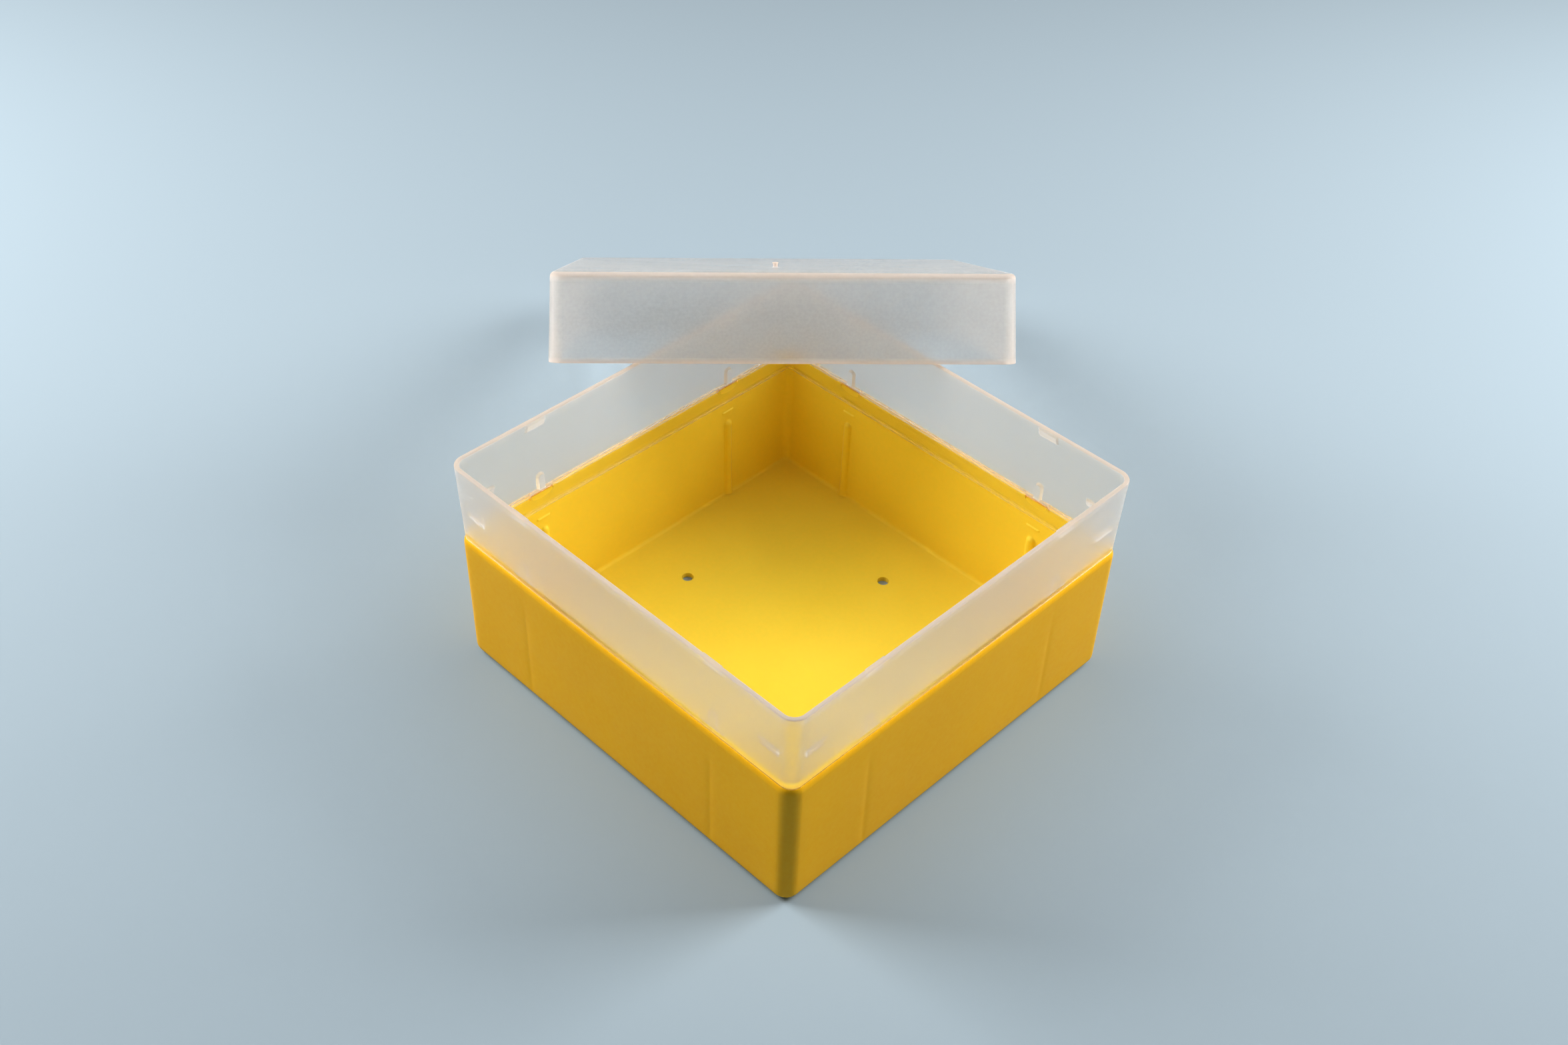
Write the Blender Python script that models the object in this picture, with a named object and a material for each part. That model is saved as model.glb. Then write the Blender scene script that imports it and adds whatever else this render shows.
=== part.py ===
"""Cryogenic storage box in three moulded pieces: a yellow base tray, a translucent collar that nests in
the tray's rim, and a translucent telescoping lid that leans on one corner of the collar.

Metres, +Z up. The origin is the centre of the tray's underside and the walls are square to X and Y.
The lid leans on the corner where the +X and +Y walls meet, with its far rim on the ground.
"""

import math

import bmesh
import bpy
from mathutils import Matrix, Vector

MM = 0.001

# Driving dimensions. Sides are full outside widths of a square.
TRAY_BOTTOM_SIDE = 127.4 * MM
TRAY_TOP_SIDE = 128.0 * MM
TRAY_HEIGHT = 42.9 * MM
FLOOR_THICKNESS = 1.6 * MM
FLOOR_INNER_SIDE = 123.4 * MM
RIM_INNER_SIDE = 124.8 * MM
BOTTOM_EDGE_RADIUS = 3.0 * MM
CORNER_RADIUS = 4.5 * MM
SMALLEST_RADIUS = 0.8 * MM
CORNER_STEPS = 7
EDGE_STEPS = 4

PIECE_GAP = 0.3 * MM
COLLAR_BOTTOM_SIDE = 127.5 * MM
COLLAR_TOP_SIDE = 128.6 * MM
COLLAR_TOP = 67.9 * MM
COLLAR_WALL = 1.35 * MM
LEDGE_TOP = 44.5 * MM
SKIRT_INNER_SIDE = 122.3 * MM
SKIRT_BOTTOM = 37.7 * MM

LID_RIM_SIDE = 133.0 * MM
LID_TOP_SIDE = 131.6 * MM
LID_HEIGHT = 25.5 * MM
LID_WALL = 1.35 * MM
LID_EDGE_RADIUS = 1.5 * MM
LID_DISH = 0.9 * MM
GATE_RADIUS = 0.8 * MM
GATE_HEIGHT = 1.2 * MM

# Where the lid leans: its front rim lies across the corner between the +X and +Y walls.
LID_YAW = math.radians(-43.06)
LID_FRONT_X = 30.83 * MM
LID_FRONT_Y = 34.13 * MM
LID_REAR_CLEARANCE = 0.05 * MM

# Small features repeat at two stations on each of the four walls, this far from the wall's centre.
STATION = 36.0 * MM
RIB_RADIUS = 1.25 * MM
RIB_TOP = 30.0 * MM
RIB_SEGMENTS = 12
NOTCH_LENGTH = 8.6 * MM
NOTCH_DEPTH = 1.2 * MM
NOTCH_LIP = 0.6 * MM
WINDOW_LENGTH = 8.0 * MM
WINDOW_TOP = 43.6 * MM
WINDOW_BOTTOM = 41.0 * MM
ARCH_WIDTH = 3.2 * MM
ARCH_TOP = 49.7 * MM
ARCH_STEPS = 6
BUMP_LENGTH = 6.4 * MM
BUMP_HEIGHT = 2.2 * MM
BUMP_REACH = 0.9 * MM
TOP_BUMP_CENTRE = 65.7 * MM
MID_BUMP_CENTRE = 53.2 * MM
MID_BUMP_STATION = 54.0 * MM
DRAIN_RADIUS = 1.75 * MM
DRAIN_OFFSET = 41.4 * MM
DRAIN_SEGMENTS = 16

SMOOTH_ANGLE = math.radians(35)


def material(name, colour, roughness, alpha=1.0):
    """A plastic with one colour, shown partly see-through when alpha is below 1."""
    result = bpy.data.materials.new(name)
    result.use_nodes = True
    shader = result.node_tree.nodes["Principled BSDF"]
    shader.inputs["Base Color"].default_value = (*colour, 1.0)
    shader.inputs["Roughness"].default_value = roughness
    shader.inputs["Metallic"].default_value = 0.0
    shader.inputs["Alpha"].default_value = alpha
    return result


def add_object(name, mesh_builder, look=None):
    """Makes an object from a bmesh, with its faces turned outwards and round stretches smooth."""
    bmesh.ops.recalc_face_normals(mesh_builder, faces=mesh_builder.faces)
    mesh = bpy.data.meshes.new(name)
    mesh_builder.to_mesh(mesh)
    mesh_builder.free()
    mesh.shade_smooth()
    mesh.set_sharp_from_angle(angle=SMOOTH_ANGLE)
    if look:
        mesh.materials.append(look)
    result = bpy.data.objects.new(name, mesh)
    bpy.context.scene.collection.objects.link(result)
    return result


def square_loop(half, radius, height):
    """Points of a level square with rounded corners, counter-clockwise."""
    centre = half - radius
    loop = []
    for quarter in range(4):
        turn = Matrix.Rotation(math.radians(90 * quarter), 3, "Z")
        for step in range(CORNER_STEPS + 1):
            angle = math.radians(90 * step / CORNER_STEPS)
            corner = Vector((centre + radius * math.cos(angle), centre + radius * math.sin(angle), height))
            loop.append(turn @ corner)
    return loop


def swept_square(profile, outer_half, capped):
    """Runs a profile of (half side, height) points round a square whose corners share their centres.

    Capped profiles end in a flat face at each end. Others close on themselves, as a ring does.
    """
    mesh_builder = bmesh.new()
    rings = []
    for half, height in profile:
        radius = max(CORNER_RADIUS + half - outer_half, SMALLEST_RADIUS)
        rings.append([mesh_builder.verts.new(point) for point in square_loop(half, radius, height)])
    pairs = list(zip(rings, rings[1:]))
    if capped:
        mesh_builder.faces.new(rings[0])
        mesh_builder.faces.new(rings[-1])
    else:
        pairs.append((rings[-1], rings[0]))
    for ring, following in pairs:
        for i in range(len(ring)):
            j = (i + 1) % len(ring)
            mesh_builder.faces.new((ring[i], ring[j], following[j], following[i]))
    return mesh_builder


def edge_arc(half, height, radius, from_degrees, to_degrees):
    """Profile points of a rounded edge around the centre (half, height)."""
    points = []
    for step in range(EDGE_STEPS + 1):
        angle = math.radians(from_degrees + (to_degrees - from_degrees) * step / EDGE_STEPS)
        points.append((half + radius * math.cos(angle), height + radius * math.sin(angle)))
    return points


def stations(offset):
    """A frame at both stations of each wall: X along the wall, Y outwards from the box's centre."""
    for quarter in range(4):
        for side in (-1, 1):
            yield Matrix.Rotation(math.radians(90 * quarter), 4, "Z") @ Matrix.Translation((side * offset, 0, 0))


def add_prism(mesh_builder, outline, inner, outer, frame):
    """Extrudes an upright outline of (along, height) points from one distance outwards to another."""
    ends = []
    for reach in (inner, outer):
        ends.append([mesh_builder.verts.new(frame @ Vector((along, reach, height))) for along, height in outline])
    near, far = ends
    mesh_builder.faces.new(near)
    mesh_builder.faces.new(far)
    for i in range(len(outline)):
        j = (i + 1) % len(outline)
        mesh_builder.faces.new((near[i], near[j], far[j], far[i]))


def rectangle(length, bottom, top):
    return [(-length / 2, bottom), (length / 2, bottom), (length / 2, top), (-length / 2, top)]


def arch_outline(width, bottom, top):
    """An upright slab with a round head."""
    radius = width / 2
    points = [(-radius, bottom), (radius, bottom)]
    for step in range(ARCH_STEPS + 1):
        angle = math.radians(180 * step / ARCH_STEPS)
        points.append((radius * math.cos(angle), top - radius + radius * math.sin(angle)))
    return points


def prisms_at(name, offset, outline, inner, outer):
    """The same prism at both stations of every wall, as one tool."""
    mesh_builder = bmesh.new()
    for frame in stations(offset):
        add_prism(mesh_builder, outline, inner, outer, frame)
    return add_object(name, mesh_builder)


def combine(target, tool, operation):
    """Cuts the tool from the target, or joins it on, and leaves the tool as a guide."""
    modifier = target.modifiers.new(tool.name, "BOOLEAN")
    modifier.solver = "EXACT"
    modifier.operation = operation
    modifier.object = tool
    tool.hide_render = True
    tool.display_type = "WIRE"


def between(start, end, share):
    return start + (end - start) * share


def tray_wall_at(height):
    """Half the distance between the tray's inner wall faces at a height."""
    share = (height - FLOOR_THICKNESS) / (TRAY_HEIGHT - FLOOR_THICKNESS)
    return between(FLOOR_INNER_SIDE, RIM_INNER_SIDE, share) / 2


def build_tray(look):
    """Open tray with drafted walls, a rounded bottom edge, ribs, drain holes and a notched rim."""
    bottom_half = TRAY_BOTTOM_SIDE / 2
    top_half = TRAY_TOP_SIDE / 2
    rim_round = 0.5 * MM
    floor_round = 1.0 * MM
    profile = edge_arc(bottom_half - BOTTOM_EDGE_RADIUS, BOTTOM_EDGE_RADIUS, BOTTOM_EDGE_RADIUS, -90, 0)
    profile += [
        (top_half, TRAY_HEIGHT - rim_round),
        (top_half - rim_round, TRAY_HEIGHT),
        (RIM_INNER_SIDE / 2, TRAY_HEIGHT),
        (FLOOR_INNER_SIDE / 2, FLOOR_THICKNESS + floor_round),
        (FLOOR_INNER_SIDE / 2 - floor_round, FLOOR_THICKNESS),
    ]
    tray = add_object("base_tray", swept_square(profile, top_half, capped=True), look)

    ribs = bmesh.new()
    rib_length = RIB_TOP - FLOOR_THICKNESS / 2
    draft = math.atan2((RIM_INNER_SIDE - FLOOR_INNER_SIDE) / 2, TRAY_HEIGHT - FLOOR_THICKNESS)
    for frame in stations(STATION):
        foot = frame @ Matrix.Translation((0, FLOOR_INNER_SIDE / 2, FLOOR_THICKNESS / 2))
        lean = Matrix.Rotation(-draft, 4, "X") @ Matrix.Translation((0, 0, rib_length / 2))
        bmesh.ops.create_cone(
            ribs,
            cap_ends=True,
            segments=RIB_SEGMENTS,
            radius1=RIB_RADIUS,
            radius2=RIB_RADIUS,
            depth=rib_length,
            matrix=foot @ lean,
        )
    combine(tray, add_object("rib_tool", ribs), "UNION")

    notch_outline = rectangle(NOTCH_LENGTH, TRAY_HEIGHT - NOTCH_DEPTH, TRAY_HEIGHT + NOTCH_DEPTH)
    notch_inner = RIM_INNER_SIDE / 2 - 2 * MM
    combine(tray, prisms_at("notch_tool", STATION, notch_outline, notch_inner, top_half - NOTCH_LIP), "DIFFERENCE")

    drains = bmesh.new()
    for quarter in range(4):
        turn = Matrix.Rotation(math.radians(90 * quarter), 4, "Z")
        bmesh.ops.create_cone(
            drains,
            cap_ends=True,
            segments=DRAIN_SEGMENTS,
            radius1=DRAIN_RADIUS,
            radius2=DRAIN_RADIUS,
            depth=4 * FLOOR_THICKNESS,
            matrix=turn @ Matrix.Translation((DRAIN_OFFSET, 0, 0)),
        )
    combine(tray, add_object("drain_tool", drains), "DIFFERENCE")
    return tray


def build_collar(look):
    """Ring with a tall outer wall, a ledge on the tray's rim and a skirt that hangs inside the tray."""
    foot = TRAY_HEIGHT + PIECE_GAP
    bottom_half = COLLAR_BOTTOM_SIDE / 2
    top_half = COLLAR_TOP_SIDE / 2
    skirt_half = SKIRT_INNER_SIDE / 2
    profile = [
        (bottom_half, foot),
        (top_half, COLLAR_TOP),
        (top_half - COLLAR_WALL, COLLAR_TOP),
        (bottom_half - COLLAR_WALL, LEDGE_TOP),
        (skirt_half, LEDGE_TOP),
        (skirt_half, SKIRT_BOTTOM),
        (tray_wall_at(SKIRT_BOTTOM) - PIECE_GAP, SKIRT_BOTTOM),
        (tray_wall_at(TRAY_HEIGHT) - PIECE_GAP, foot),
    ]
    collar = add_object("collar", swept_square(profile, top_half, capped=False), look)

    wall_root = bottom_half - COLLAR_WALL / 2
    wall_face = bottom_half - COLLAR_WALL
    bump = rectangle(BUMP_LENGTH, TOP_BUMP_CENTRE - BUMP_HEIGHT / 2, TOP_BUMP_CENTRE + BUMP_HEIGHT / 2)
    combine(collar, prisms_at("top_bump_tool", STATION, bump, wall_face - BUMP_REACH / 2, wall_root), "UNION")
    bump = rectangle(BUMP_LENGTH, MID_BUMP_CENTRE - BUMP_HEIGHT / 2, MID_BUMP_CENTRE + BUMP_HEIGHT / 2)
    combine(collar, prisms_at("mid_bump_tool", MID_BUMP_STATION, bump, wall_face - BUMP_REACH, wall_root), "UNION")
    arch = arch_outline(ARCH_WIDTH, between(foot, LEDGE_TOP, 0.5), ARCH_TOP)
    combine(collar, prisms_at("arch_tool", STATION, arch, wall_face - BUMP_REACH, wall_root), "UNION")

    window = rectangle(WINDOW_LENGTH, WINDOW_BOTTOM, WINDOW_TOP)
    window_outer = RIM_INNER_SIDE / 2
    combine(collar, prisms_at("window_tool", STATION, window, skirt_half - 1 * MM, window_outer), "DIFFERENCE")
    return collar


def build_lid(look):
    """Shallow square cap, open below, with a slightly dished top and the moulding gate's nub on it.

    Its own frame has its rim's centre at the origin, and the lid's depth runs along +Y.
    """
    rim_half = LID_RIM_SIDE / 2
    top_half = LID_TOP_SIDE / 2
    dish_steps = ((0.75, 0.35), (0.45, 0.8), (0.2, 1.0))
    inner_top = LID_HEIGHT - LID_WALL
    inner_round = 0.6 * MM
    profile = [(top_half * width, LID_HEIGHT - LID_DISH * drop) for width, drop in reversed(dish_steps)]
    profile += edge_arc(top_half - LID_EDGE_RADIUS, LID_HEIGHT - LID_EDGE_RADIUS, LID_EDGE_RADIUS, 90, 0)
    profile += [
        (rim_half, 0.0),
        (rim_half - LID_WALL, 0.0),
        (top_half - LID_WALL, inner_top - inner_round),
        (top_half - LID_WALL - inner_round, inner_top),
    ]
    profile += [(top_half * width, inner_top - LID_DISH * drop) for width, drop in dish_steps]
    lid = add_object("lid", swept_square(profile, rim_half, capped=True), look)

    gate = bmesh.new()
    gate_root = LID_HEIGHT - LID_DISH - LID_WALL / 2
    gate_length = LID_WALL / 2 + GATE_HEIGHT
    bmesh.ops.create_cone(
        gate,
        cap_ends=True,
        segments=RIB_SEGMENTS,
        radius1=GATE_RADIUS,
        radius2=GATE_RADIUS,
        depth=gate_length,
        matrix=Matrix.Translation((0, 0, gate_root + gate_length / 2)),
    )
    gate_tool = add_object("gate_tool", gate)
    gate_tool.parent = lid
    combine(lid, gate_tool, "UNION")
    return lid


def lean_lid(lid):
    """Lays the front rim across the collar's corner and the rear rim on the ground."""
    # The front wall's lowest line is the inner edge of its rim, a wall's thickness behind the outer edge.
    # With the rear rim on the ground, the outer edge is then at height rest + wall * sin(tilt).
    rest_height = COLLAR_TOP + PIECE_GAP
    tilt = math.asin((rest_height - LID_REAR_CLEARANCE) / (LID_RIM_SIDE - LID_WALL))
    front_height = rest_height + LID_WALL * math.sin(tilt)
    turn = Matrix.Rotation(LID_YAW, 4, "Z") @ Matrix.Rotation(-tilt, 4, "X")
    front_rim = Matrix.Translation((LID_FRONT_X, LID_FRONT_Y, front_height))
    lid.matrix_world = front_rim @ turn @ Matrix.Translation((0, LID_RIM_SIDE / 2, 0))


def main():
    for scene_object in list(bpy.data.objects):
        bpy.data.objects.remove(scene_object)

    yellow = material("yellow_plastic", (0.80, 0.48, 0.03), 0.42)
    clear = material("translucent_collar", (0.85, 0.84, 0.82), 0.35, alpha=0.45)
    clear_lid = material("translucent_lid", (0.88, 0.87, 0.86), 0.3, alpha=0.45)
    build_tray(yellow)
    build_collar(clear)
    lean_lid(build_lid(clear_lid))


main()
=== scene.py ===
"""Looks of the cryogenic storage box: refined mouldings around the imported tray, collar and lid.

Metres, +Z up, in the frame's own coordinates. The walls are square to X and Y, and the lid leans on
the corner where the +X and +Y walls meet.
"""

import math

import bmesh
import bpy
from mathutils import Matrix, Vector


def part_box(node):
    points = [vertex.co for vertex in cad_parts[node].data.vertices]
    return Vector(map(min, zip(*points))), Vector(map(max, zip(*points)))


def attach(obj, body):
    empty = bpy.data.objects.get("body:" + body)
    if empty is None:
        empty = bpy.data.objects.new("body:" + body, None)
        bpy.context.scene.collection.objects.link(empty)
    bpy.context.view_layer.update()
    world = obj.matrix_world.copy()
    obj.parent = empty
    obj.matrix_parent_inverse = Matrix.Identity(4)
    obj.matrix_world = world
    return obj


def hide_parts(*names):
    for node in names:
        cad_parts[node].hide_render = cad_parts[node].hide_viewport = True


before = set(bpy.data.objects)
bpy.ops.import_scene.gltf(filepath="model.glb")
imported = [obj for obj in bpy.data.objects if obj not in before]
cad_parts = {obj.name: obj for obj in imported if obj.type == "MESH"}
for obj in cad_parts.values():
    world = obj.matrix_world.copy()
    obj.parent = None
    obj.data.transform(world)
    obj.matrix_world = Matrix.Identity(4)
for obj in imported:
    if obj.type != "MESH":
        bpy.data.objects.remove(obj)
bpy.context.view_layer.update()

MM = 0.001

# Sizes read from the frame. Halves are distances from the box's middle planes.
_, tray_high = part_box("base_tray")
collar_low, collar_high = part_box("collar")
TRAY_HALF = tray_high.x
TRAY_TOP = tray_high.z
COLLAR_HALF = collar_high.x
COLLAR_TOP = collar_high.z
SKIRT_BOTTOM = collar_low.z

# Driving dimensions shared with the solids.
TRAY_FOOT_HALF = TRAY_HALF - 0.3 * MM
BOTTOM_EDGE_RADIUS = 3.0 * MM
FLOOR_TOP = 1.6 * MM
FLOOR_HALF = 61.7 * MM
RIM_INNER_HALF = 62.4 * MM
CORNER_RADIUS = 4.5 * MM
PIECE_GAP = 0.3 * MM
COLLAR_WALL = 1.35 * MM
LEDGE_TOP = 44.5 * MM
SKIRT_HALF = 61.15 * MM
STATION = 36.0 * MM
DRAIN_RADIUS = 1.75 * MM
DRAIN_OFFSET = 41.4 * MM

# Details of the refined tray. The solid shows them more simply or not at all.
RIB_RADIUS = 1.25 * MM
RIB_TOP = 30.0 * MM
RIB_FLARE = 0.35 * MM
RIB_FLARE_HEIGHT = 1.6 * MM
RIB_FOOTING = 0.14 * MM
RIDGE_HEIGHT = 33.5 * MM
RIDGE_REACH = 0.4 * MM
SINK_DEPTH = 0.09 * MM
SINK_WIDTH = 1.1 * MM
NOTCH_LENGTH = 8.6 * MM
NOTCH_DEPTH = 1.2 * MM
NOTCH_LIP = 1.15 * MM
SHOULDER_DROP = 2.0 * MM
SHOULDER_INSET = 1.1 * MM

# Details of the refined collar, whose foot is seated on the tray's rounded shoulder.
SEAT_GAP = 0.03 * MM
COLLAR_FOOT_HALF = COLLAR_HALF - 0.95 * MM
COLLAR_FOOT_WALL = 1.05 * MM
WINDOW_LENGTH = 8.0 * MM
WINDOW_TOP = 43.6 * MM
WINDOW_BOTTOM = 41.0 * MM
ARCH_WIDTH = 2.4 * MM
ARCH_TOP = 49.7 * MM
BUMP_LENGTH = 6.4 * MM
TOP_BUMP_HEIGHT = 2.0 * MM
MID_BUMP_HEIGHT = 1.6 * MM
BUMP_REACH = 0.9 * MM
TOP_BUMP_CENTRE = 66.4 * MM
MID_BUMP_CENTRE = 53.2 * MM
MID_BUMP_STATION = 55.0 * MM

# The lid, in its own coordinates with its rim down, and the way it leans.
LID_HALF = 66.5 * MM
LID_TOP_HALF = 65.8 * MM
LID_HEIGHT = 25.5 * MM
LID_WALL = 1.35 * MM
LID_EDGE_RADIUS = 1.5 * MM
LID_DISH = 0.9 * MM
LID_YAW = math.radians(-43.06)
LID_FRONT = (30.83 * MM, 34.13 * MM)
LID_REAR_CLEARANCE = 0.05 * MM
GATE_RADIUS = 1.0 * MM
GATE_HEIGHT = 1.8 * MM

# Edges that turn more than this stay crisp when the faces are shaded smooth.
SHARP_ANGLE = math.radians(40)


# ---------------------------------------------------------------------------------------------------
# Shape helpers
# ---------------------------------------------------------------------------------------------------


def between(start, end, share):
    return start + (end - start) * share


def ease(low, high, value):
    """0 below low, 1 above high and a smooth curve between them."""
    share = min(max((value - low) / (high - low), 0.0), 1.0)
    return share * share * (3 - 2 * share)


def arc(centre, radius, from_degrees, to_degrees, steps):
    """Profile points of a rounded edge round centre, each a (half side, height)."""
    points = []
    for step in range(steps + 1):
        angle = math.radians(between(from_degrees, to_degrees, step / steps))
        points.append((centre[0] + radius * math.cos(angle), centre[1] + radius * math.sin(angle)))
    return points


def run(profile, end, spacing):
    """Carries a profile on in a straight line to end, with points about that far apart."""
    start = profile[-1]
    steps = max(1, round(math.dist(start, end) / spacing))
    for step in range(1, steps + 1):
        share = step / steps
        profile.append((between(start[0], end[0], share), between(start[1], end[1], share)))


def wall_columns(straight, coarse, fine=0.0, zones=()):
    """Places along a wall from -straight to straight, closer together inside the zones (centre, reach)."""
    places = [-straight]
    while places[-1] < straight:
        here = places[-1]
        inside = any(abs(abs(here) - centre) < reach for centre, reach in zones)
        step = fine if inside else coarse
        if not inside:
            for centre, reach in zones:
                for edge in (-centre - reach, centre - reach):
                    if here < edge < here + step:
                        step = edge - here + fine / 100
        places.append(here + step)
    places[-1] = straight
    return places


def swept_square(name, profile, half_at_radius, radius, places, relief=None, edges=None, corner_steps=12):
    """Runs a profile of (half side, height) points round a square with concentric rounded corners.

    The corners have the given radius where the half side is half_at_radius. places are the columns along
    each wall. relief(place, half, height) gives the moved half side and height of a point on a straight
    wall, and how much it belongs to raised detail. edges(half, height, turned) says how much a point
    belongs to a thin edge; turned is 1 on a corner's diagonal and 0 on the walls. The plastic is painted
    denser and warmer where either is high, a painted glow standing in for light piped along thin edges
    and caught by raised detail. Both ends are filled unless the profile meets its start.
    """
    straight = half_at_radius - radius
    closed = math.dist(profile[0], profile[-1]) < 1e-9
    rows = profile[:-1] if closed else profile
    vertices = []
    edge_shares = []
    for half, height in rows:
        corner_radius = max(half - straight, min(0.8 * MM, 0.97 * half))
        flat = half - corner_radius
        for quarter in range(4):
            turn = Matrix.Rotation(math.radians(90 * quarter), 3, "Z")
            for place in places:
                moved_half, moved_height, raised = half, height, 0.0
                if relief:
                    moved_half, moved_height, raised = relief(place, half, height)
                vertices.append(turn @ Vector((moved_half, place * flat / straight, moved_height)))
                edge_shares.append(max(raised, edges(half, height, 0.0) if edges else 0.0))
            for step in range(1, corner_steps):
                angle = math.radians(90 * step / corner_steps)
                x = flat + corner_radius * math.cos(angle)
                y = flat + corner_radius * math.sin(angle)
                vertices.append(turn @ Vector((x, y, height)))
                turned = 1 - abs(2 * step / corner_steps - 1)
                edge_shares.append(edges(half, height, turned) if edges else 0.0)

    columns = 4 * (len(places) + corner_steps - 1)
    faces = []
    for row in range(len(rows) if closed else len(rows) - 1):
        following = (row + 1) % len(rows)
        for column in range(columns):
            beside = (column + 1) % columns
            faces.append(
                (
                    row * columns + column,
                    row * columns + beside,
                    following * columns + beside,
                    following * columns + column,
                )
            )
    if not closed:
        faces.append(tuple(range(columns)))
        faces.append(tuple(range((len(rows) - 1) * columns, len(rows) * columns)))

    mesh = bpy.data.meshes.new(name)
    mesh.from_pydata(vertices, [], faces)
    attribute = mesh.attributes.new("edge", "FLOAT", "POINT")
    attribute.data.foreach_set("value", edge_shares)
    tidy_normals(mesh)
    piece = bpy.data.objects.new(name, mesh)
    bpy.context.scene.collection.objects.link(piece)
    return piece


def tidy_normals(mesh):
    """Turns the faces outwards and shades them smooth between the sharp edges."""
    builder = bmesh.new()
    builder.from_mesh(mesh)
    bmesh.ops.recalc_face_normals(builder, faces=builder.faces)
    builder.to_mesh(mesh)
    builder.free()
    mesh.shade_smooth()
    mesh.set_sharp_from_angle(angle=SHARP_ANGLE)


def station_frames(offset):
    """A frame at both stations of every wall, with X outwards and Y along the wall."""
    for quarter in range(4):
        turn = Matrix.Rotation(math.radians(90 * quarter), 4, "Z")
        for side in (-1, 1):
            yield turn @ Matrix.Translation((0, side * offset, 0))


def cutter(name, builder):
    """An object that holds the shape to be taken out of a piece."""
    mesh = bpy.data.meshes.new(name)
    bmesh.ops.recalc_face_normals(builder, faces=builder.faces)
    builder.to_mesh(mesh)
    builder.free()
    tool = bpy.data.objects.new(name, mesh)
    bpy.context.scene.collection.objects.link(tool)
    return tool


def cut(piece, tool):
    """Takes the tool's shape out of the piece for good and removes the tool."""
    modifier = piece.modifiers.new("cut", "BOOLEAN")
    modifier.operation = "DIFFERENCE"
    modifier.solver = "EXACT"
    modifier.object = tool
    bpy.context.view_layer.update()
    graph = bpy.context.evaluated_depsgraph_get()
    mesh = bpy.data.meshes.new_from_object(piece.evaluated_get(graph), depsgraph=graph)
    piece.modifiers.clear()
    piece.data = mesh
    mesh.name = piece.name
    mesh.shade_smooth()
    mesh.set_sharp_from_angle(angle=SHARP_ANGLE)
    bpy.data.objects.remove(tool)


# ---------------------------------------------------------------------------------------------------
# Base tray
# ---------------------------------------------------------------------------------------------------


def tray_wall_at(height):
    """Half the distance between the tray's inner wall faces at a height."""
    share = (height - FLOOR_TOP) / (TRAY_TOP - FLOOR_TOP)
    return between(FLOOR_HALF, RIM_INNER_HALF, share)


def shoulder_height(half):
    """Height of the tray's rounded shoulder, where the collar's foot is seated, at half a side."""
    reach = min(max((half - TRAY_HALF) / SHOULDER_INSET + 1, 0.0), 1.0)
    return TRAY_TOP + SHOULDER_DROP * (math.sqrt(1 - reach * reach) - 1)


def rib_reach(along, height):
    """How far a rib stands off the wall: half round, with a domed top and a slight flare at the floor."""
    top_centre = RIB_TOP - RIB_RADIUS
    beyond = max(height - top_centre, 0.0)
    flare = RIB_FLARE * math.exp(-(height - FLOOR_TOP) / RIB_FLARE_HEIGHT)
    radius = RIB_RADIUS + flare
    distance = math.hypot(along, beyond)
    body = math.sqrt(max(radius * radius - distance * distance, 0.0))
    footing = RIB_FOOTING * (1 - ease(radius * 0.8, radius * 1.5, distance))
    return 0.8 * body + footing


def ridge_reach(along, height):
    """The short level ridge above each rib."""
    ends = 1 - ease(1.9 * MM, 2.4 * MM, abs(along))
    band = 1 - ease(0.1 * MM, 0.42 * MM, abs(height - RIDGE_HEIGHT))
    return RIDGE_REACH * ends * band


def tray_relief(place, half, height):
    """Ribs and ridges inside the walls, notches in the rim and a sink mark outside each rib."""
    along = abs(place) - STATION
    inner = half <= RIM_INNER_HALF + 0.01 * MM and height > FLOOR_TOP
    if inner and abs(along) < 4 * MM and half > FLOOR_HALF - 0.3 * MM:
        return half - rib_reach(along, height) - ridge_reach(along, height), height, 0.0
    on_rim = height > TRAY_TOP - 0.5 * MM and half < TRAY_HALF - NOTCH_LIP - 0.05 * MM
    if on_rim:
        inside = 1 - ease(NOTCH_LENGTH / 2 - 0.15 * MM, NOTCH_LENGTH / 2 + 0.15 * MM, abs(along))
        return half, height - NOTCH_DEPTH * inside, 0.0
    outside = half > TRAY_FOOT_HALF - 0.01 * MM
    if outside:
        sink = math.exp(-((along / SINK_WIDTH) ** 2)) * ease(TRAY_TOP, RIB_TOP - 4 * MM, height)
        return half - SINK_DEPTH * sink, height, 0.0
    return half, height, 0.0


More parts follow.
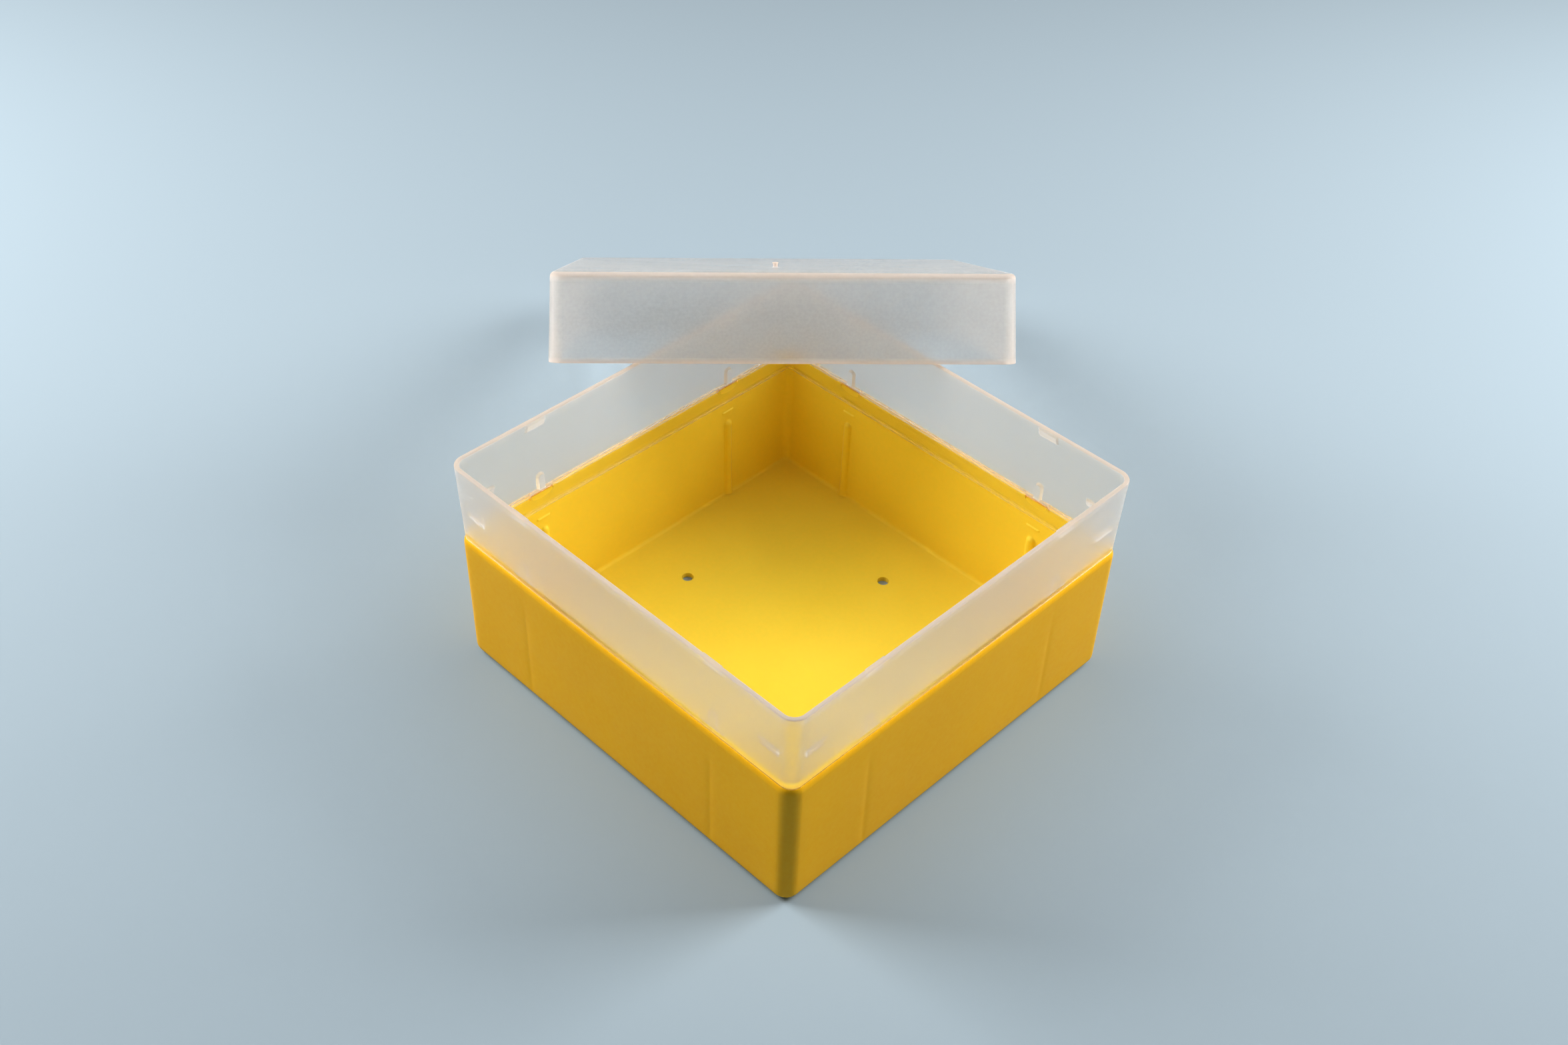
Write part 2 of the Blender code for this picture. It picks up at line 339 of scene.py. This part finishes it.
def build_tray():
    inner_round = 0.25 * MM
    floor_round = 1.1 * MM
    foot_centre = (TRAY_FOOT_HALF - BOTTOM_EDGE_RADIUS, BOTTOM_EDGE_RADIUS)
    profile = [(foot_centre[0] - 1 * MM, 0.0)]
    profile += arc(foot_centre, BOTTOM_EDGE_RADIUS, -90, 0, 9)
    run(profile, (TRAY_HALF, TRAY_TOP - SHOULDER_DROP), 2 * MM)
    shoulder = arc((0, 0), 1, 12, 90, 8)
    profile += [
        (TRAY_HALF + SHOULDER_INSET * (x - 1), TRAY_TOP + SHOULDER_DROP * (y - 1)) for x, y in shoulder
    ]
    run(profile, (TRAY_HALF - NOTCH_LIP - 0.03 * MM, TRAY_TOP), 0.1 * MM)
    profile.append((TRAY_HALF - NOTCH_LIP - 0.1 * MM, TRAY_TOP))
    run(profile, (RIM_INNER_HALF + inner_round, TRAY_TOP), 0.3 * MM)
    profile += arc((RIM_INNER_HALF + inner_round, TRAY_TOP - inner_round), inner_round, 110, 180, 4)
    run(profile, (tray_wall_at(RIDGE_HEIGHT + 1 * MM), RIDGE_HEIGHT + 1 * MM), 0.8 * MM)
    run(profile, (tray_wall_at(RIB_TOP - 2 * MM), RIB_TOP - 2 * MM), 0.16 * MM)
    run(profile, (tray_wall_at(FLOOR_TOP + 5 * MM), FLOOR_TOP + 5 * MM), 2 * MM)
    run(profile, (tray_wall_at(FLOOR_TOP + floor_round), FLOOR_TOP + floor_round), 0.5 * MM)
    profile += arc((FLOOR_HALF - floor_round, FLOOR_TOP + floor_round), floor_round, -10, -90, 8)
    profile.append((FLOOR_HALF - floor_round - 1.5 * MM, FLOOR_TOP))
    places = wall_columns(TRAY_HALF - CORNER_RADIUS, 2.5 * MM, 0.2 * MM, [(STATION, 5 * MM)])
    tray = swept_square("tray_moulding", profile, TRAY_HALF, CORNER_RADIUS, places, relief=tray_relief)

    drains = bmesh.new()
    for quarter in range(4):
        turn = Matrix.Rotation(math.radians(90 * quarter), 4, "Z")
        bmesh.ops.create_cone(
            drains,
            cap_ends=True,
            segments=40,
            radius1=DRAIN_RADIUS,
            radius2=DRAIN_RADIUS,
            depth=4 * FLOOR_TOP,
            matrix=turn @ Matrix.Translation((DRAIN_OFFSET, 0, 0)),
        )
    cut(tray, cutter("drain_cutter", drains))
    return tray


# ---------------------------------------------------------------------------------------------------
# Collar
# ---------------------------------------------------------------------------------------------------


def plateau(distance, softness):
    """1 well inside a shape and 0 outside it, from the signed distance inside its outline."""
    return ease(-softness / 2, softness / 2, distance)


def flank(share):
    """1 on the steep side of a shape that rises from share 0 to share 1, and 0 on the flat parts."""
    return 4 * share * (1 - share)


def arch_share(along, height):
    """An upright slab with a round head that stands on the ledge."""
    radius = ARCH_WIDTH / 2
    above = max(height - (ARCH_TOP - radius), 0.0)
    return plateau(radius - math.hypot(along, above), 0.3 * MM)


def bump_share(along, height, centre, tall):
    """A short bar with slanted ends."""
    slanted = along + 0.3 * (height - centre)
    ends = BUMP_LENGTH / 2 - abs(slanted)
    sides = tall / 2 - abs(height - centre)
    return plateau(min(ends, sides), 0.4 * MM)


def collar_relief(place, half, height):
    """Bumps and arches inside the walls, and the skirt's lip set back above each window."""
    along = abs(place) - STATION
    along_mid = abs(place) - MID_BUMP_STATION
    wall_face = half < COLLAR_HALF - COLLAR_WALL + 0.1 * MM
    # The third value marks bumps and arches, most on the arch's flanks, for the painted glow of caught
    # light.
    if wall_face and height > LEDGE_TOP + 0.02 * MM and half > SKIRT_HALF + 0.9 * MM:
        if abs(along) < 5 * MM and height > COLLAR_TOP - 6 * MM:
            share = bump_share(along, height, TOP_BUMP_CENTRE, TOP_BUMP_HEIGHT)
            return half - 0.6 * BUMP_REACH * share, height, 0.6 * share
        if abs(along) < 3 * MM:
            share = arch_share(along, height)
            return half - BUMP_REACH * share, height, 0.3 * flank(share) + 0.2 * share
        if abs(along_mid) < 4.5 * MM:
            share = bump_share(along_mid, height, MID_BUMP_CENTRE, MID_BUMP_HEIGHT)
            return half - BUMP_REACH * share, height, 0.6 * share
    if half < SKIRT_HALF + 0.9 * MM and height > WINDOW_TOP - 0.2 * MM:
        inside = 1 - ease(NOTCH_LENGTH / 2 - 0.6 * MM, NOTCH_LENGTH / 2 + 0.6 * MM, abs(along))
        return half + 0.7 * MM * inside, height, 0.0
    return half, height, 0.0


def collar_edges(half, height, turned):
    """The rim, the ledge's lip and the skirt's bottom edge look densest, a painted glow for light piped
    there.
    """
    rim = ease(COLLAR_TOP - 0.45 * MM, COLLAR_TOP - 0.2 * MM, height)
    ledge = 0.0
    if half < SKIRT_HALF + 0.5 * MM:
        ledge = ease(LEDGE_TOP - 0.6 * MM, LEDGE_TOP - 0.2 * MM, height)
    foot = 0.0
    if half < RIM_INNER_HALF:
        foot = 1 - ease(SKIRT_BOTTOM + 0.1 * MM, SKIRT_BOTTOM + 0.35 * MM, height)
    return max(rim, ledge, foot)


def build_collar():
    skirt_outer = tray_wall_at(SKIRT_BOTTOM) - PIECE_GAP
    neck = tray_wall_at(TRAY_TOP) - PIECE_GAP
    rim_round = 0.35 * MM
    lip_round = 0.35 * MM
    wall_foot = COLLAR_FOOT_HALF - COLLAR_FOOT_WALL
    fillet = 0.4 * MM
    foot_bottom = shoulder_height(COLLAR_FOOT_HALF) + SEAT_GAP
    foot_round = 0.12 * MM
    profile = arc((COLLAR_FOOT_HALF - foot_round, foot_bottom + foot_round), foot_round, -60, 0, 3)
    run(profile, (COLLAR_HALF, COLLAR_TOP - rim_round), 2.5 * MM)
    profile += arc((COLLAR_HALF - rim_round, COLLAR_TOP - rim_round), rim_round, 15, 90, 5)
    inner_rim = COLLAR_HALF - COLLAR_WALL
    profile += arc((inner_rim + rim_round, COLLAR_TOP - rim_round), rim_round, 90, 180, 6)
    share = (TOP_BUMP_CENTRE - 2 * MM - LEDGE_TOP) / (COLLAR_TOP - LEDGE_TOP)
    run(profile, (between(wall_foot, inner_rim, share), TOP_BUMP_CENTRE - 2 * MM), 0.22 * MM)
    share = (MID_BUMP_CENTRE + 2 * MM - LEDGE_TOP) / (COLLAR_TOP - LEDGE_TOP)
    run(profile, (between(wall_foot, inner_rim, share), MID_BUMP_CENTRE + 2 * MM), 2 * MM)
    run(profile, (wall_foot + 0.01 * MM, LEDGE_TOP + fillet), 0.22 * MM)
    profile += arc((wall_foot - fillet, LEDGE_TOP + fillet), fillet, -10, -90, 4)
    run(profile, (SKIRT_HALF + lip_round, LEDGE_TOP), 0.25 * MM)
    profile += arc((SKIRT_HALF + lip_round, LEDGE_TOP - lip_round), lip_round, 105, 180, 5)
    run(profile, (SKIRT_HALF, SKIRT_BOTTOM + 0.15 * MM), 0.4 * MM)
    profile += arc((SKIRT_HALF + 0.15 * MM, SKIRT_BOTTOM + 0.15 * MM), 0.15 * MM, 200, 270, 3)
    profile += arc((skirt_outer - 0.15 * MM, SKIRT_BOTTOM + 0.15 * MM), 0.15 * MM, 270, 350, 3)
    run(profile, (neck, TRAY_TOP + SEAT_GAP - 0.1 * MM), 1.0 * MM)
    profile.append((neck + 0.1 * MM, TRAY_TOP + SEAT_GAP))
    seat_steps = 6
    for step in range(seat_steps):
        half = between(TRAY_HALF - SHOULDER_INSET, COLLAR_FOOT_HALF - foot_round, step / seat_steps)
        profile.append((half, shoulder_height(half) + SEAT_GAP))
    run(profile, profile[0], 0.5 * MM)
    zones = [(STATION, 5 * MM), (MID_BUMP_STATION, 4.2 * MM)]
    places = wall_columns(COLLAR_HALF - CORNER_RADIUS, 3 * MM, 0.24 * MM, zones)
    collar = swept_square(
        "collar_moulding",
        profile,
        COLLAR_HALF,
        CORNER_RADIUS,
        places,
        relief=collar_relief,
        edges=collar_edges,
    )

    windows = bmesh.new()
    for placing in station_frames(STATION):
        add_window(windows, placing)
    cut(collar, cutter("window_cutter", windows))
    return collar


def add_window(builder, placing):
    """A lens-shaped hole through the skirt: level on top, rounded below."""
    outline = [(WINDOW_LENGTH / 2, WINDOW_TOP), (-WINDOW_LENGTH / 2, WINDOW_TOP)]
    steps = 16
    for step in range(1, steps):
        angle = math.pi + math.pi * step / steps
        along = WINDOW_LENGTH / 2 * math.cos(angle)
        drop = (WINDOW_TOP - WINDOW_BOTTOM) * abs(math.sin(angle)) ** 0.6
        outline.append((along, WINDOW_TOP - drop))
    ends = []
    for reach in (SKIRT_HALF - 1 * MM, RIM_INNER_HALF - 0.1 * MM):
        corners = [placing @ Vector((reach, along, height)) for along, height in outline]
        ends.append([builder.verts.new(corner) for corner in corners])
    near, far = ends
    builder.faces.new(near)
    builder.faces.new(far)
    for i in range(len(outline)):
        j = (i + 1) % len(outline)
        builder.faces.new((near[i], near[j], far[j], far[i]))


# ---------------------------------------------------------------------------------------------------
# Lid
# ---------------------------------------------------------------------------------------------------


def lid_edges(half, height, turned):
    """Densest at the rim, the wall-to-plate band, the upright corners (painted glow for piped light) and
    the gate mark.
    """
    rim = 1 - ease(0.15 * MM, 0.5 * MM, height)
    outer = ease(LID_TOP_HALF - 0.9 * LID_EDGE_RADIUS, LID_TOP_HALF - 0.6 * LID_EDGE_RADIUS, half)
    shoulder = outer * ease(LID_HEIGHT - 1.7 * MM, LID_HEIGHT - 1.4 * MM, height)
    corner = 0.55 * turned * ease(LID_TOP_HALF - 1.2 * MM, LID_TOP_HALF - 0.8 * MM, half)
    gate = 1.0 if half < 2 * GATE_RADIUS and height > LID_HEIGHT - LID_DISH + 0.2 * MM else 0.0
    return max(rim, shoulder, corner, gate)


def dish(half):
    """How far the lid's plate sags at a distance from its middle."""
    share = min(half / (LID_TOP_HALF - LID_EDGE_RADIUS), 1.0)
    return LID_DISH * (1 - share * share) ** 1.5


def build_lid():
    rim_round = 0.25 * MM
    inner_round = 0.7 * MM
    inner_top = LID_HEIGHT - LID_WALL
    inner_half = LID_TOP_HALF - LID_WALL
    gate_foot = LID_HEIGHT - LID_DISH
    profile = [
        (0.5 * GATE_RADIUS, gate_foot + GATE_HEIGHT),
        (0.9 * GATE_RADIUS, gate_foot + 0.96 * GATE_HEIGHT),
        (GATE_RADIUS, gate_foot + 0.85 * GATE_HEIGHT),
        (0.75 * GATE_RADIUS, gate_foot + 0.65 * GATE_HEIGHT),
        (0.7 * GATE_RADIUS, gate_foot + 0.2 * GATE_HEIGHT),
        (1.1 * GATE_RADIUS, gate_foot + 0.04 * GATE_HEIGHT),
    ]
    plate_edge = LID_TOP_HALF - LID_EDGE_RADIUS
    plate_steps = 28
    for step in range(plate_steps):
        half = between(2.5 * MM, plate_edge, step / plate_steps)
        profile.append((half, LID_HEIGHT - dish(half)))
    profile += arc((plate_edge, LID_HEIGHT - LID_EDGE_RADIUS), LID_EDGE_RADIUS, 90, 0, 8)
    run(profile, (LID_HALF, rim_round), 1.5 * MM)
    profile += arc((LID_HALF - rim_round, rim_round), rim_round, 0, -90, 4)[1:]
    profile += arc((LID_HALF - LID_WALL + rim_round, rim_round), rim_round, -90, -180, 4)
    run(profile, (inner_half, inner_top - inner_round), 2 * MM)
    profile += arc((inner_half - inner_round, inner_top - inner_round), inner_round, 10, 90, 5)
    for step in range(1, plate_steps):
        half = between(inner_half - inner_round, 2.5 * MM, step / plate_steps)
        profile.append((half, inner_top - dish(half)))
    places = wall_columns(LID_HALF - CORNER_RADIUS, 3 * MM)
    lid = swept_square("lid_moulding", profile, LID_HALF, CORNER_RADIUS, places, edges=lid_edges)
    lid.matrix_world = leaning_lid()
    return lid


def leaning_lid():
    """The front rim lies across the collar's corner and the rear rim on the ground."""
    rest_height = COLLAR_TOP + PIECE_GAP
    depth = 2 * LID_HALF
    tilt = math.asin((rest_height - LID_REAR_CLEARANCE) / (depth - LID_WALL))
    front_height = rest_height + LID_WALL * math.sin(tilt)
    turn = Matrix.Rotation(LID_YAW, 4, "Z") @ Matrix.Rotation(-tilt, 4, "X")
    front = Matrix.Translation((LID_FRONT[0], LID_FRONT[1], front_height))
    return front @ turn @ Matrix.Translation((0, LID_HALF, 0))


# ---------------------------------------------------------------------------------------------------
# Materials
# ---------------------------------------------------------------------------------------------------


OUTER_YELLOWS = ((0.87, 0.43, 0.004, 1), (0.92, 0.47, 0.007, 1))
# Painted light: paler yellows for the tray's inside, standing in for the light bounced there.
BOUNCE_PAINTED_INNER_YELLOWS = ((0.78, 0.585, 0.042, 1), (0.82, 0.625, 0.052, 1))
SPECKLE_YELLOW = (0.94, 0.62, 0.04, 1)
CLEAR_PLASTIC = (0.93, 0.93, 0.925, 1)
# Painted light: a yellow tint where the collar lies on the tray, standing in for the tray's yellow showing
# through.
PAINTED_YELLOW_SHOW_THROUGH = (0.95, 0.87, 0.66, 1)
WIDE_GLOW = (0.80, 0.805, 0.815, 1)
MILK_WHITES = ((0.88, 0.88, 0.88, 1), (0.93, 0.92, 0.91, 1))
# Painted glow: a warm peach for edges and raised detail, standing in for light piped along the plastic.
PAINTED_EDGE_GLOW = (0.83, 0.735, 0.675, 1)
PLASTIC_IOR = 1.49
FLOOR_BLUE_GREY = (0.30, 0.385, 0.46, 1)


class Nodes:
    """A material's node tree, with short calls to add nodes and link them."""

    def __init__(self, name):
        self.material = bpy.data.materials.new(name)
        self.material.use_nodes = True
        self.tree = self.material.node_tree
        self.tree.nodes.clear()
        self.output = self.add("ShaderNodeOutputMaterial")

    def add(self, kind, inputs=None, **settings):
        node = self.tree.nodes.new(kind)
        for key, value in settings.items():
            setattr(node, key, value)
        for key, value in (inputs or {}).items():
            if isinstance(value, bpy.types.NodeSocket):
                self.tree.links.new(value, node.inputs[key])
            else:
                node.inputs[key].default_value = value
        return node

    def place(self):
        return self.add("ShaderNodeTexCoord").outputs["Object"]

    def noise(self, vector, scale, detail=3.0, roughness=0.5):
        inputs = {"Vector": vector, "Scale": scale, "Detail": detail, "Roughness": roughness}
        return self.add("ShaderNodeTexNoise", inputs).outputs["Fac"]

    def stretch(self, vector, scale):
        return self.add("ShaderNodeMapping", {"Vector": vector, "Scale": scale}).outputs["Vector"]

    def remap(self, value, low, high, from_low=0.3, from_high=0.7):
        inputs = {
            "Value": value,
            "From Min": from_low,
            "From Max": from_high,
            "To Min": low,
            "To Max": high,
        }
        return self.add("ShaderNodeMapRange", inputs).outputs["Result"]

    def mix_colour(self, share, first, second):
        node = self.add("ShaderNodeMix", data_type="RGBA")
        for key, value in {0: share, 6: first, 7: second}.items():
            if isinstance(value, bpy.types.NodeSocket):
                self.tree.links.new(value, node.inputs[key])
            else:
                node.inputs[key].default_value = value
        return node.outputs[2]

    def calculate(self, operation, first, second=0.0):
        node = self.add("ShaderNodeMath", operation=operation)
        for key, value in enumerate((first, second)):
            if isinstance(value, bpy.types.NodeSocket):
                self.tree.links.new(value, node.inputs[key])
            else:
                node.inputs[key].default_value = value
        return node.outputs[0]

    def from_middle(self, place):
        """Distance from the box's middle planes, rounded like the box's own upright corners."""
        sides = self.add("ShaderNodeSeparateXYZ", {"Vector": place}).outputs
        straight = TRAY_HALF - CORNER_RADIUS
        beyond = []
        for axis in ("X", "Y"):
            reach = self.calculate("SUBTRACT", self.calculate("ABSOLUTE", sides[axis]), straight)
            beyond.append(self.calculate("MAXIMUM", reach, 0.0))
        corner = self.add("ShaderNodeCombineXYZ", {"X": beyond[0], "Y": beyond[1]}).outputs[0]
        length = self.add("ShaderNodeVectorMath", {0: corner}, operation="LENGTH").outputs["Value"]
        return self.calculate("ADD", length, straight)

    def bump(self, height, distance, strength=1.0, normal=None):
        inputs = {"Height": height, "Distance": distance, "Strength": strength}
        if normal:
            inputs["Normal"] = normal
        return self.add("ShaderNodeBump", inputs).outputs["Normal"]

    def finish(self, shader):
        self.tree.links.new(shader, self.output.inputs["Surface"])
        return self.material


def grey(value):
    return (value, value, value, 1)


def yellow_plastic():
    """Opaque golden polypropylene with flow marks, and a painted paler inside for light bounced in the
    tray.
    """
    nodes = Nodes("yellow_polypropylene")
    place = nodes.place()
    sides = nodes.add("ShaderNodeSeparateXYZ", {"Vector": place}).outputs
    outside = nodes.remap(nodes.from_middle(place), 0.0, 1.0, RIM_INNER_HALF, TRAY_HALF - NOTCH_LIP)
    broad = nodes.noise(place, 22.0, 3.0)
    speckle = nodes.noise(place, 700.0, 2.0)
    outer = nodes.mix_colour(nodes.remap(broad, 0.0, 1.0), *OUTER_YELLOWS)
    # Painted light: the inside of the tray gets the paler yellows, standing in for its bounced light.
    inner = nodes.mix_colour(nodes.remap(broad, 0.0, 1.0), *BOUNCE_PAINTED_INNER_YELLOWS)
    colour = nodes.mix_colour(outside, inner, outer)
    colour = nodes.mix_colour(nodes.remap(speckle, 0.0, 0.2), colour, SPECKLE_YELLOW)
    on_floor = nodes.remap(sides["Z"], 1.0, 0.0, FLOOR_TOP + 0.3 * MM, FLOOR_TOP + 1.5 * MM)
    roughness = nodes.remap(nodes.noise(place, 60.0), 0.36, 0.46)
    roughness = nodes.calculate("ADD", roughness, nodes.calculate("MULTIPLY", on_floor, 0.14))
    grain = nodes.noise(place, 2600.0, 2.0)
    ripple = nodes.noise(nodes.stretch(place, (1, 1, 0.25)), 140.0, 2.0)
    normal = nodes.bump(ripple, 0.02 * MM, 0.35)
    normal = nodes.bump(grain, 0.02 * MM, 0.5, normal)
    inputs = {
        "Base Color": colour,
        "Roughness": roughness,
        "IOR": PLASTIC_IOR,
        "Specular IOR Level": 0.08,
        "Normal": normal,
    }
    return nodes.finish(nodes.add("ShaderNodeBsdfPrincipled", inputs).outputs["BSDF"])


def translucent_plastic(name, blur, haze, milk, lamplight, contact_height=-1.0):
    """Natural polypropylene. It blurs what lies behind it, and part of the light spreads much wider.

    blur is the roughness that things behind are seen through, haze the share of the light that spreads
    wide, milk the share that the plastic scatters like paper, and lamplight what each face lets through
    from the lamps. Thin edges and rims, marked in the mesh, are painted denser and warmer than the walls,
    a painted glow standing in for light piped along the plastic. Below contact_height the plastic lies
    on another piece, whose colour then shows through it undimmed, and the plastic is painted yellow
    there, standing in for that colour showing through.
    """
    nodes = Nodes(name)
    place = nodes.place()
    height = nodes.add("ShaderNodeSeparateXYZ", {"Vector": place}).outputs["Z"]
    clouds = nodes.noise(place, 45.0, 3.0)
    hairlines = nodes.noise(nodes.stretch(place, (60, 60, 2400)), 1.0, 3.0, 0.6)
    grain = nodes.noise(place, 1800.0, 2.0)
    flecks = nodes.remap(nodes.noise(place, 1100.0, 2.0), -0.02, 0.02)
    edge = nodes.add("ShaderNodeAttribute", attribute_name="edge").outputs["Fac"]

    low = nodes.remap(height, 1.0, 0.0, contact_height, contact_height + 0.3 * MM)
    reach = nodes.from_middle(place)
    inward = nodes.remap(reach, 1.0, 0.0, RIM_INNER_HALF - 0.1 * MM, RIM_INNER_HALF + 0.2 * MM)
    contact = nodes.calculate("MULTIPLY", low, inward)

    normal = nodes.bump(grain, 0.01 * MM, 0.2)
    sharp = nodes.add(
        "ShaderNodeBsdfPrincipled",
        {
            # Painted light: tinted yellow low down, standing in for the tray's yellow showing through the
            # plastic.
            "Base Color": nodes.mix_colour(low, CLEAR_PLASTIC, PAINTED_YELLOW_SHOW_THROUGH),
            "Roughness": nodes.remap(hairlines, blur - 0.01, blur + 0.01),
            "IOR": PLASTIC_IOR,
            "Transmission Weight": 1.0,
            "Normal": normal,
        },
    )
    wide = nodes.add("ShaderNodeBsdfGlass", {"Color": WIDE_GLOW, "Roughness": 0.75, "IOR": PLASTIC_IOR})
    spread = nodes.remap(clouds, haze - 0.03, haze + 0.03)
    spread = nodes.calculate("MULTIPLY", spread, nodes.remap(low, 1.0, 0.1, 0.0, 1.0))
    body = nodes.add("ShaderNodeMixShader", {0: spread, 1: sharp.outputs[0], 2: wide.outputs[0]})

    milk_and_edge_glow = nodes.mix_colour(nodes.remap(hairlines, 0.0, 1.0), *MILK_WHITES)
    # Painted glow: edges and raised detail get the warm peach and a larger paper share, for piped light.
    milk_and_edge_glow = nodes.mix_colour(edge, milk_and_edge_glow, PAINTED_EDGE_GLOW)
    front = nodes.add("ShaderNodeBsdfDiffuse", {"Color": milk_and_edge_glow, "Normal": normal})
    back = nodes.add("ShaderNodeBsdfTranslucent", {"Color": milk_and_edge_glow, "Normal": normal})
    paper = nodes.add("ShaderNodeMixShader", {0: 0.55, 1: front.outputs[0], 2: back.outputs[0]})
    painted_glow_share = nodes.calculate("MULTIPLY", edge, nodes.remap(low, 0.75 - milk, 0.15, 0.0, 1.0))
    share = nodes.calculate("ADD", nodes.remap(low, milk, 0.02, 0.0, 1.0), painted_glow_share)
    share = nodes.calculate("ADD", share, flecks)
    seen = nodes.add("ShaderNodeMixShader", {0: share, 1: body.outputs[0], 2: paper.outputs[0]})

    # The skirt against the tray's wall and the foot's lowest edge hardly show on the tray's colour.
    clear = nodes.add("ShaderNodeBsdfTransparent", {"Color": grey(1)})
    touching = nodes.calculate("MULTIPLY", contact, nodes.remap(edge, 0.9, 0.6, 0.0, 0.5))
    seated = nodes.remap(height, 0.7, 0.0, contact_height - 1.5 * MM, contact_height - 1.1 * MM)
    touching = nodes.calculate("MAXIMUM", touching, seated)
    seen = nodes.add("ShaderNodeMixShader", {0: touching, 1: seen.outputs[0], 2: clear.outputs[0]})

    lamps = nodes.add("ShaderNodeLightPath").outputs["Is Shadow Ray"]
    passed = nodes.mix_colour(contact, grey(lamplight), grey(0.9))
    through = nodes.add("ShaderNodeBsdfTransparent", {"Color": passed})
    lit = nodes.add("ShaderNodeMixShader", {0: lamps, 1: seen.outputs[0], 2: through.outputs[0]})
    return nodes.finish(lit.outputs[0])


def floor_material():
    nodes = Nodes("pale_floor")
    inputs = {"Base Color": FLOOR_BLUE_GREY, "Roughness": 0.9, "Specular IOR Level": 0.2}
    return nodes.finish(nodes.add("ShaderNodeBsdfPrincipled", inputs).outputs["BSDF"])


# ---------------------------------------------------------------------------------------------------
# Stage
# ---------------------------------------------------------------------------------------------------

CAMERA_AZIMUTH = math.radians(-46.442)
CAMERA_ELEVATION = math.radians(41.159)
CAMERA_ROLL = math.radians(2.179)
CAMERA_DISTANCE = 520.9 * MM
CAMERA_TARGET = Vector((15.93, 17.66, 28.88)) * MM
CAMERA_LENS = 41.6
WARM_WHITE = (1.0, 0.96, 0.905)
STUDIO_WHITE = (0.96, 0.95, 0.93, 1)
STUDIO_STRENGTH = 0.07
LAMP_TARGET = Vector((0.02, 0.02, 0.03))
LAMP_FRONT = -46
SIDE_LAMP_TURN = 105
SIDE_LAMP_WATTS = 7.8
OVERHEAD_WATTS = 0.95


def outward(azimuth, elevation):
    """Direction from the box to a viewpoint. Azimuth 0 is in front, towards -Y."""
    level = math.cos(elevation)
    return Vector((math.sin(azimuth) * level, -math.cos(azimuth) * level, math.sin(elevation)))


def add_camera():
    data = bpy.data.cameras.new("camera")
    data.lens = CAMERA_LENS
    data.sensor_width = 36
    data.clip_start = 0.01
    camera = bpy.data.objects.new("camera", data)
    back = outward(CAMERA_AZIMUTH, CAMERA_ELEVATION)
    camera.rotation_mode = "QUATERNION"
    level = (-back).to_track_quat("-Z", "Y")
    camera.rotation_quaternion = level @ Matrix.Rotation(CAMERA_ROLL, 3, "Z").to_quaternion()
    camera.location = CAMERA_TARGET + back * CAMERA_DISTANCE
    bpy.context.scene.collection.objects.link(camera)
    bpy.context.scene.camera = camera


def add_softbox(name, azimuth, elevation, distance, size, watts):
    data = bpy.data.lights.new(name, "AREA")
    data.shape = "RECTANGLE"
    data.size, data.size_y = size
    data.energy = watts
    data.color = WARM_WHITE
    data.cycles.use_multiple_importance_sampling = False
    lamp = bpy.data.objects.new(name, data)
    direction = outward(math.radians(azimuth), math.radians(elevation))
    lamp.rotation_mode = "QUATERNION"
    lamp.rotation_quaternion = (-direction).to_track_quat("-Z", "Y")
    lamp.location = LAMP_TARGET + direction * distance
    bpy.context.scene.collection.objects.link(lamp)


def add_stage():
    mesh = bpy.data.meshes.new("floor")
    reach = 6.0
    corners = [(-reach, -reach, 0), (reach, -reach, 0), (reach, reach, 0), (-reach, reach, 0)]
    mesh.from_pydata(corners, [], [(0, 1, 2, 3)])
    floor = bpy.data.objects.new("floor", mesh)
    floor.location.z = -0.02 * MM
    floor.data.materials.append(floor_material())
    bpy.context.scene.collection.objects.link(floor)

    world = bpy.data.worlds.new("studio")
    world.use_nodes = True
    background = world.node_tree.nodes["Background"]
    background.inputs["Color"].default_value = STUDIO_WHITE
    background.inputs["Strength"].default_value = STUDIO_STRENGTH
    bpy.context.scene.world = world
    scene = bpy.context.scene
    scene.view_settings.view_transform = "Standard"
    scene.cycles.max_bounces = 24
    scene.cycles.diffuse_bounces = 8
    scene.cycles.transmission_bounces = 24
    scene.cycles.transparent_max_bounces = 24

    add_softbox("left_softbox", LAMP_FRONT - SIDE_LAMP_TURN, 34, 0.75, (0.4, 0.5), SIDE_LAMP_WATTS)
    add_softbox("right_softbox", LAMP_FRONT + SIDE_LAMP_TURN, 34, 0.75, (0.4, 0.5), SIDE_LAMP_WATTS)
    add_softbox("overhead", LAMP_FRONT, 80, 1.1, (0.6, 0.6), OVERHEAD_WATTS)


# ---------------------------------------------------------------------------------------------------
# Assembly
# ---------------------------------------------------------------------------------------------------


def dress(piece, material, body, node):
    piece.data.materials.append(material)
    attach(piece, body)
    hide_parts(node)


dress(build_tray(), yellow_plastic(), "base", "base_tray")
collar_plastic = translucent_plastic(
    "collar_polypropylene", blur=0.30, haze=0.19, milk=0.06, lamplight=0.4, contact_height=LEDGE_TOP
)
lid_plastic = translucent_plastic("lid_polypropylene", blur=0.2, haze=0.24, milk=0.14, lamplight=0.42)
dress(build_collar(), collar_plastic, "collar", "collar")
dress(build_lid(), lid_plastic, "lid", "lid")
add_stage()
add_camera()
